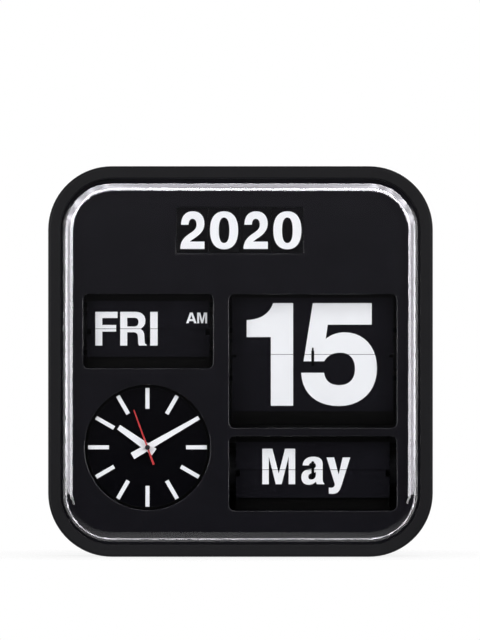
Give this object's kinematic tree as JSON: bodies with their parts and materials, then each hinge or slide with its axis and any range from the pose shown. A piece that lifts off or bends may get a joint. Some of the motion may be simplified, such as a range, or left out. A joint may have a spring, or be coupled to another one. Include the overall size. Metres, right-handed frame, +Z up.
{
  "type": "wall clock with calendar",
  "caption": "Rounded-square black wall clock with a small round dial, falling-leaf weekday, date and month windows and year tiles behind a clear cover.",
  "frame": {"origin": "centre of the flat back face, on the wall plane", "axes": "+Y into the wall, +Z up, +X to the right seen from the front; the dial faces -Y"},
  "size_m": [0.32, 0.095, 0.325],
  "materials": {
    "case_black": "fine matt moulded texture",
    "lens_clear": "clear polished acrylic",
    "panel_black": "satin black",
    "dial_black": "satin black",
    "print_white": "white",
    "movement_black": "moulded",
    "gear_nylon": "natural moulded nylon",
    "hand_white": "white paint",
    "gear_brass": "turned",
    "knob_plastic": "moulded and fluted",
    "hand_red": "red paint",
    "cap_black": "polished",
    "magnet_steel": "ground",
    "iron_steel": "stamped",
    "coil_copper": "enamelled copper wire",
    "cell_jacket": "plain jacket",
    "contact_nickel": "nickel plated",
    "hanger_steel": "zinc plated",
    "screw_steel": "zinc plated",
    "board_green": "solder resist",
    "chip_black": "moulded",
    "tile_black": "satin black",
    "frame_plastic": "moulded",
    "drum_plastic": "moulded",
    "shaft_steel": "ground",
    "leaf_black": "thin satin sheet",
    "motor_steel": "drawn can"
  },
  "bodies": {
    "root": {"case_body": "case_black", "front_bezel": "case_black", "rear_cover": "case_black", "lens_cover": "lens_clear", "face_panel": "panel_black", "dial_plate": "dial_black", "hour_markers": "print_white", "movement_case": "movement_black", "movement_lid": "movement_black", "stator": "iron_steel", "coil": "coil_copper", "battery_cells": "cell_jacket", "battery_contacts": "contact_nickel", "hanger_plate": "hanger_steel", "battery_bay": "case_black", "control_board": "board_green", "board_parts": "chip_black", "thumbwheel_clips": "screw_steel", "rear_fasteners": "screw_steel", "inner_screws": "screw_steel", "year_tile_1": "tile_black", "year_tile_2": "tile_black", "year_tile_3": "tile_black", "year_tile_4": "tile_black", "weekday_frame": "frame_plastic", "weekday_leaf_pack": "leaf_black", "weekday_motor": "motor_steel", "date_frame": "frame_plastic", "date_leaf_pack": "leaf_black", "date_motor": "motor_steel", "month_frame": "frame_plastic", "month_leaf_pack": "leaf_black", "month_motor": "motor_steel"},
    "minute": {"cannon_pinion": "gear_brass", "minute_hand": "hand_white"},
    "hour": {"hour_wheel": "gear_nylon", "hour_hand": "hand_white"},
    "setting": {"minute_wheel": "gear_nylon", "time_set_knob": "knob_plastic"},
    "second": {"second_wheel": "gear_brass", "second_hand": "hand_red", "centre_cap": "cap_black"},
    "drive": {"drive_wheel": "gear_nylon"},
    "rotor": {"rotor": "magnet_steel"},
    "door": {"battery_door": "case_black"},
    "weekday_drum": {"weekday_drum": "drum_plastic", "weekday_arbor": "shaft_steel"},
    "weekday_pinion": {"weekday_motor_pinion": "gear_brass"},
    "weekday_thumbwheel": {"weekday_thumbwheel": "knob_plastic"},
    "weekday_flip": {"weekday_flip_leaf": "leaf_black"},
    "date_drum": {"date_drum": "drum_plastic", "date_arbor": "shaft_steel"},
    "date_pinion": {"date_motor_pinion": "gear_brass"},
    "date_thumbwheel": {"date_thumbwheel": "knob_plastic"},
    "date_flip": {"date_flip_leaf": "leaf_black"},
    "month_drum": {"month_drum": "drum_plastic", "month_arbor": "shaft_steel"},
    "month_pinion": {"month_motor_pinion": "gear_brass"},
    "month_thumbwheel": {"month_thumbwheel": "knob_plastic"},
    "month_flip": {"month_flip_leaf": "leaf_black"}
  },
  "joints": [
    {"name": "minute_turn", "type": "hinge", "parent": "root", "child": "minute", "pos_m": [-0.0775, -0.05, -0.0716], "axis": [0, 1, 0], "continuous": true},
    {"name": "hour_turn", "type": "hinge", "parent": "root", "child": "hour", "pos_m": [-0.0775, -0.05, -0.0716], "axis": [0, 1, 0], "continuous": true},
    {"name": "setting_turn", "type": "hinge", "parent": "root", "child": "setting", "pos_m": [-0.0775, -0.045, -0.0836], "axis": [0, 1, 0], "continuous": true},
    {"name": "second_turn", "type": "hinge", "parent": "root", "child": "second", "pos_m": [-0.0775, -0.05, -0.0716], "axis": [0, 1, 0], "continuous": true},
    {"name": "drive_turn", "type": "hinge", "parent": "root", "child": "drive", "pos_m": [-0.08477, -0.042, -0.0674], "axis": [0, 1, 0], "continuous": true},
    {"name": "rotor_turn", "type": "hinge", "parent": "root", "child": "rotor", "pos_m": [-0.08477, -0.042, -0.0584], "axis": [0, 1, 0], "continuous": true},
    {"name": "battery_door_swing", "type": "hinge", "parent": "root", "child": "door", "pos_m": [0, -0.0016, 0.1166], "axis": [1, 0, 0], "range_deg": [0, 95]},
    {"name": "weekday_drum_turn", "type": "hinge", "parent": "root", "child": "weekday_drum", "pos_m": [-0.0769, -0.031, 0.0273], "axis": [1, 0, 0], "continuous": true},
    {"name": "weekday_pinion_turn", "type": "hinge", "parent": "root", "child": "weekday_pinion", "pos_m": [-0.1519, -0.01953, 0.01092], "axis": [1, 0, 0], "continuous": true},
    {"name": "weekday_thumbwheel_turn", "type": "hinge", "parent": "root", "child": "weekday_thumbwheel", "pos_m": [-0.1519, -0.014, 0.04828], "axis": [1, 0, 0], "continuous": true},
    {"name": "weekday_leaf_fall", "type": "hinge", "parent": "root", "child": "weekday_flip", "pos_m": [-0.0769, -0.043, 0.0273], "axis": [1, 0, 0], "range_deg": [0, 178]},
    {"name": "date_drum_turn", "type": "hinge", "parent": "root", "child": "date_drum", "pos_m": [0.0603, -0.031, 0.0059], "axis": [1, 0, 0], "continuous": true},
    {"name": "date_pinion_turn", "type": "hinge", "parent": "root", "child": "date_pinion", "pos_m": [0.1353, -0.01953, -0.01048], "axis": [1, 0, 0], "continuous": true},
    {"name": "date_thumbwheel_turn", "type": "hinge", "parent": "root", "child": "date_thumbwheel", "pos_m": [0.1353, -0.014, 0.02688], "axis": [1, 0, 0], "continuous": true},
    {"name": "date_leaf_fall", "type": "hinge", "parent": "root", "child": "date_flip", "pos_m": [0.0603, -0.043, 0.0059], "axis": [1, 0, 0], "range_deg": [0, 178]},
    {"name": "month_drum_turn", "type": "hinge", "parent": "root", "child": "month_drum", "pos_m": [0.0603, -0.031, -0.0903], "axis": [1, 0, 0], "continuous": true},
    {"name": "month_pinion_turn", "type": "hinge", "parent": "root", "child": "month_pinion", "pos_m": [0.1353, -0.01953, -0.10668], "axis": [1, 0, 0], "continuous": true},
    {"name": "month_thumbwheel_turn", "type": "hinge", "parent": "root", "child": "month_thumbwheel", "pos_m": [0.1353, -0.014, -0.06932], "axis": [1, 0, 0], "continuous": true},
    {"name": "month_leaf_fall", "type": "hinge", "parent": "root", "child": "month_flip", "pos_m": [0.0603, -0.043, -0.0903], "axis": [1, 0, 0], "range_deg": [0, 178]}
  ],
  "couplings": [
    {"joint": "hour_turn", "follows": "minute_turn", "ratio": 0.083333},
    {"joint": "setting_turn", "follows": "minute_turn", "ratio": -0.33333},
    {"joint": "drive_turn", "follows": "second_turn", "ratio": -6},
    {"joint": "rotor_turn", "follows": "second_turn", "ratio": 30},
    {"joint": "weekday_pinion_turn", "follows": "weekday_drum_turn", "ratio": -3},
    {"joint": "weekday_thumbwheel_turn", "follows": "weekday_drum_turn", "ratio": -1.25},
    {"joint": "date_pinion_turn", "follows": "date_drum_turn", "ratio": -3},
    {"joint": "date_thumbwheel_turn", "follows": "date_drum_turn", "ratio": -1.25},
    {"joint": "month_pinion_turn", "follows": "month_drum_turn", "ratio": -3},
    {"joint": "month_thumbwheel_turn", "follows": "month_drum_turn", "ratio": -1.25}
  ]
}
